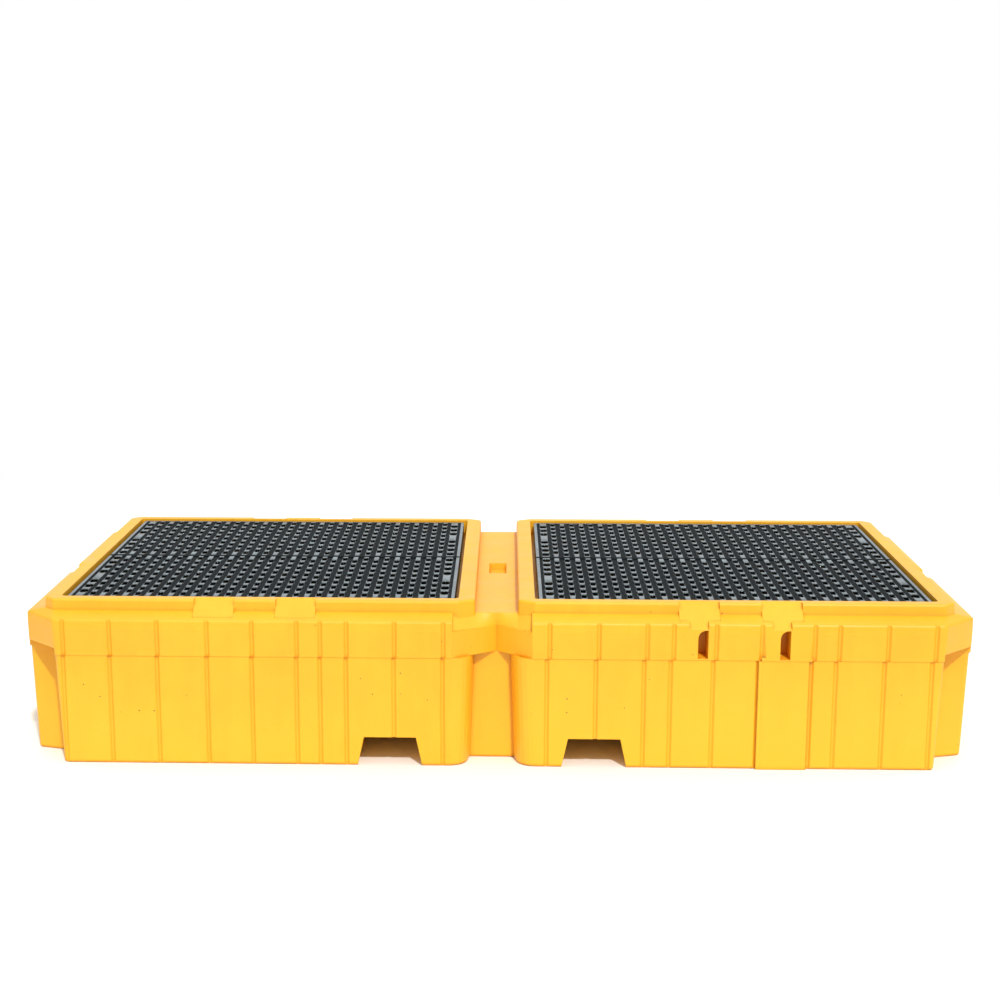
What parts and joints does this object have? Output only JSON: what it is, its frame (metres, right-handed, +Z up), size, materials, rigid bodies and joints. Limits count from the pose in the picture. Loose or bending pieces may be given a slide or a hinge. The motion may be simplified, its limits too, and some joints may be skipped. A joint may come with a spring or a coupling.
{
  "type": "spill containment pallet",
  "caption": "Low moulded sump pallet with two side-by-side grated bays for bulk liquid totes, a valley between them and fork pockets through the base.",
  "frame": {"origin": "centre of the pallet's footprint, on the floor that it stands on", "axes": "+X along the length, across the two bays; +Y from front to back; +Z up"},
  "size_m": [3.14, 1.584, 0.552],
  "materials": {
    "yellow_pe": "rotomoulded polyethylene, satin",
    "black_pe": "moulded polyethylene, satin",
    "post_pe": "extruded polyethylene, satin"
  },
  "bodies": {
    "tub": {"sump_tub": "yellow_pe", "support_post_left_front_1": "post_pe", "support_post_left_front_2": "post_pe", "support_post_left_front_3": "post_pe", "support_post_left_front_4": "post_pe", "support_post_left_front_5": "post_pe", "support_post_left_front_6": "post_pe", "support_post_left_back_1": "post_pe", "support_post_left_back_2": "post_pe", "support_post_left_back_3": "post_pe", "support_post_left_back_4": "post_pe", "support_post_left_back_5": "post_pe", "support_post_left_back_6": "post_pe", "support_post_right_front_1": "post_pe", "support_post_right_front_2": "post_pe", "support_post_right_front_3": "post_pe", "support_post_right_front_4": "post_pe", "support_post_right_front_5": "post_pe", "support_post_right_front_6": "post_pe", "support_post_right_back_1": "post_pe", "support_post_right_back_2": "post_pe", "support_post_right_back_3": "post_pe", "support_post_right_back_4": "post_pe", "support_post_right_back_5": "post_pe", "support_post_right_back_6": "post_pe"},
    "grate_left_front": {"grate_left_front": "black_pe"},
    "grate_left_back": {"grate_left_back": "black_pe"},
    "grate_right_front": {"grate_right_front": "black_pe"},
    "grate_right_back": {"grate_right_back": "black_pe"}
  },
  "joints": [
    {"name": "grate_left_front_lift", "type": "slide", "parent": "tub", "child": "grate_left_front", "axis": [0, 0, 1], "range_m": [0, 0.6]},
    {"name": "grate_left_back_lift", "type": "slide", "parent": "tub", "child": "grate_left_back", "axis": [0, 0, 1], "range_m": [0, 0.6]},
    {"name": "grate_right_front_lift", "type": "slide", "parent": "tub", "child": "grate_right_front", "axis": [0, 0, 1], "range_m": [0, 0.6]},
    {"name": "grate_right_back_lift", "type": "slide", "parent": "tub", "child": "grate_right_back", "axis": [0, 0, 1], "range_m": [0, 0.6]}
  ]
}
